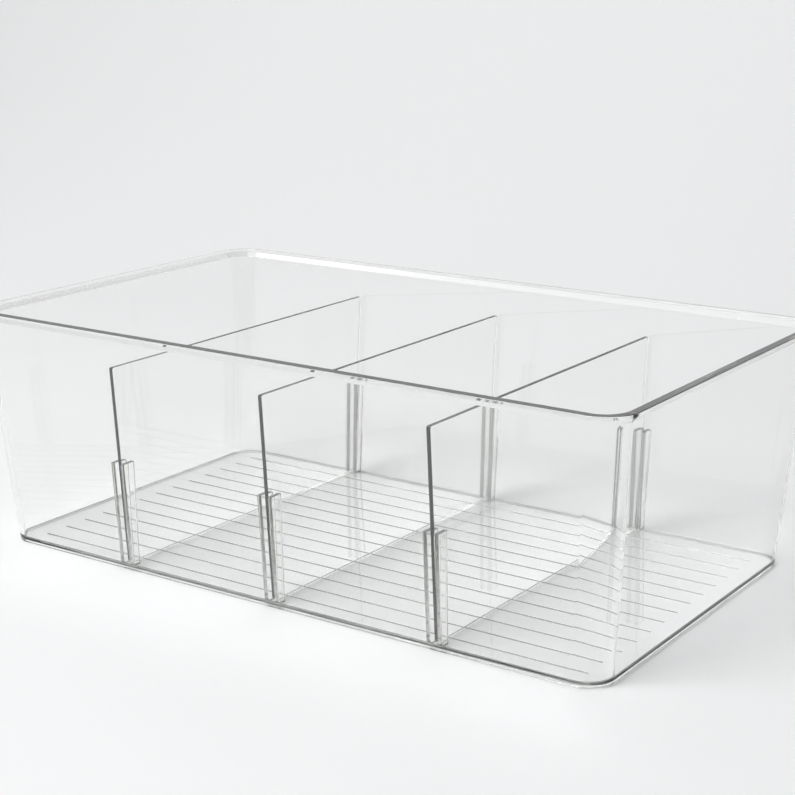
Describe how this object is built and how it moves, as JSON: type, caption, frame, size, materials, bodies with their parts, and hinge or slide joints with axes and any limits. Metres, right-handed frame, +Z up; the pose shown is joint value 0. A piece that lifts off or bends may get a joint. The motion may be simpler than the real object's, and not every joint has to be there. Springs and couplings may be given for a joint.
{
  "type": "divided storage bin",
  "caption": "Open-topped clear plastic storage bin with outward-leaning walls, a turned-out rim and a ribbed floor, split into compartments by flat dividers that lift out of guide slots.",
  "frame": {"origin": "middle of the underside, on the surface that the bin stands on", "axes": "+X along the bin's length, +Y from the front long wall to the back one, +Z up out of the open top"},
  "size_m": [0.32, 0.19, 0.1058],
  "materials": {
    "bin_plastic": "clear, polished injection-moulded plastic",
    "divider_plastic": "clear, polished plastic sheet"
  },
  "bodies": {
    "bin": {"bin_body": "bin_plastic"},
    "left_divider": {"divider_left": "divider_plastic"},
    "middle_divider": {"divider_middle": "divider_plastic"},
    "right_divider": {"divider_right": "divider_plastic"}
  },
  "joints": [
    {"name": "left_divider_lift", "type": "slide", "parent": "bin", "child": "left_divider", "axis": [0, 0, 1], "range_m": [0, 0.11]},
    {"name": "middle_divider_lift", "type": "slide", "parent": "bin", "child": "middle_divider", "axis": [0, 0, 1], "range_m": [0, 0.11]},
    {"name": "right_divider_lift", "type": "slide", "parent": "bin", "child": "right_divider", "axis": [0, 0, 1], "range_m": [0, 0.11]}
  ]
}
